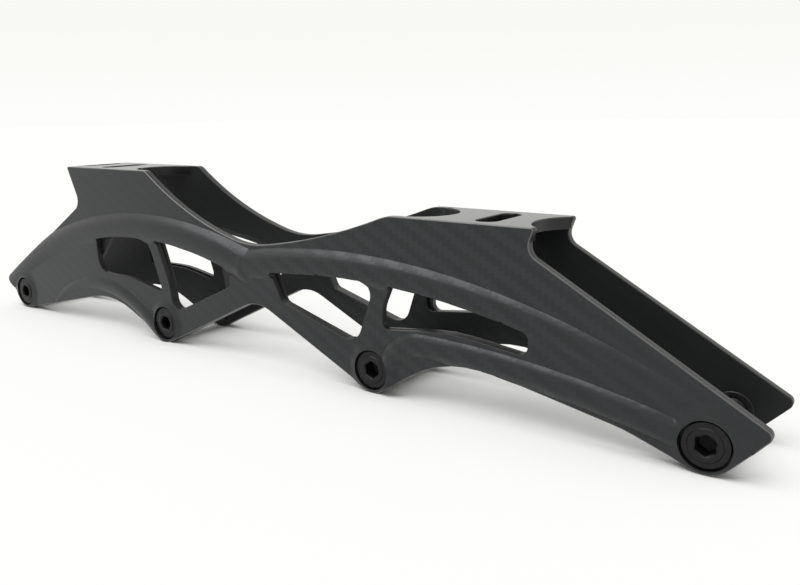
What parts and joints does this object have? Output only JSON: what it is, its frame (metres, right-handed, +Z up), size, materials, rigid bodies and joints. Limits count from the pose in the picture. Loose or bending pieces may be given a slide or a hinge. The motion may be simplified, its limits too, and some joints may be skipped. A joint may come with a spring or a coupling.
{
  "type": "inline skate frame",
  "caption": "Speed-skate frame with two sculpted carbon truss sides, a low front and a high rear boot platform, and withdrawable axle bolts across the wheel line.",
  "frame": {"origin": "on the floor under the middle of the wheel line, half way between the two sides", "axes": "+X forward to the toe, +Y to the skater's left, +Z up"},
  "size_m": [0.3674, 0.0396, 0.073],
  "materials": {
    "carbon_shell": "satin twill carbon laminate",
    "carbon_liner": "matte moulded carbon laminate",
    "carbon_platform": "satin machined carbon laminate",
    "bush_metal": "black anodised",
    "bolt_steel": "black oxide"
  },
  "bodies": {
    "frame": {"right_outer_shell": "carbon_shell", "right_inner_liner": "carbon_liner", "left_outer_shell": "carbon_shell", "left_inner_liner": "carbon_liner", "front_platform": "carbon_platform", "rear_platform": "carbon_platform", "plain_bush_1": "bush_metal", "plain_bush_2": "bush_metal", "plain_bush_3": "bush_metal", "plain_bush_4": "bush_metal", "threaded_bush_1": "bush_metal", "threaded_bush_2": "bush_metal", "threaded_bush_3": "bush_metal", "threaded_bush_4": "bush_metal"},
    "axle_1": {"axle_bolt_1": "bolt_steel"},
    "axle_2": {"axle_bolt_2": "bolt_steel"},
    "axle_3": {"axle_bolt_3": "bolt_steel"},
    "axle_4": {"axle_bolt_4": "bolt_steel"}
  },
  "joints": [
    {"name": "axle_1_draw", "type": "slide", "parent": "frame", "child": "axle_1", "axis": [0, -1, 0], "range_m": [0, 0.03]},
    {"name": "axle_2_draw", "type": "slide", "parent": "frame", "child": "axle_2", "axis": [0, -1, 0], "range_m": [0, 0.03]},
    {"name": "axle_3_draw", "type": "slide", "parent": "frame", "child": "axle_3", "axis": [0, -1, 0], "range_m": [0, 0.03]},
    {"name": "axle_4_draw", "type": "slide", "parent": "frame", "child": "axle_4", "axis": [0, -1, 0], "range_m": [0, 0.03]}
  ]
}
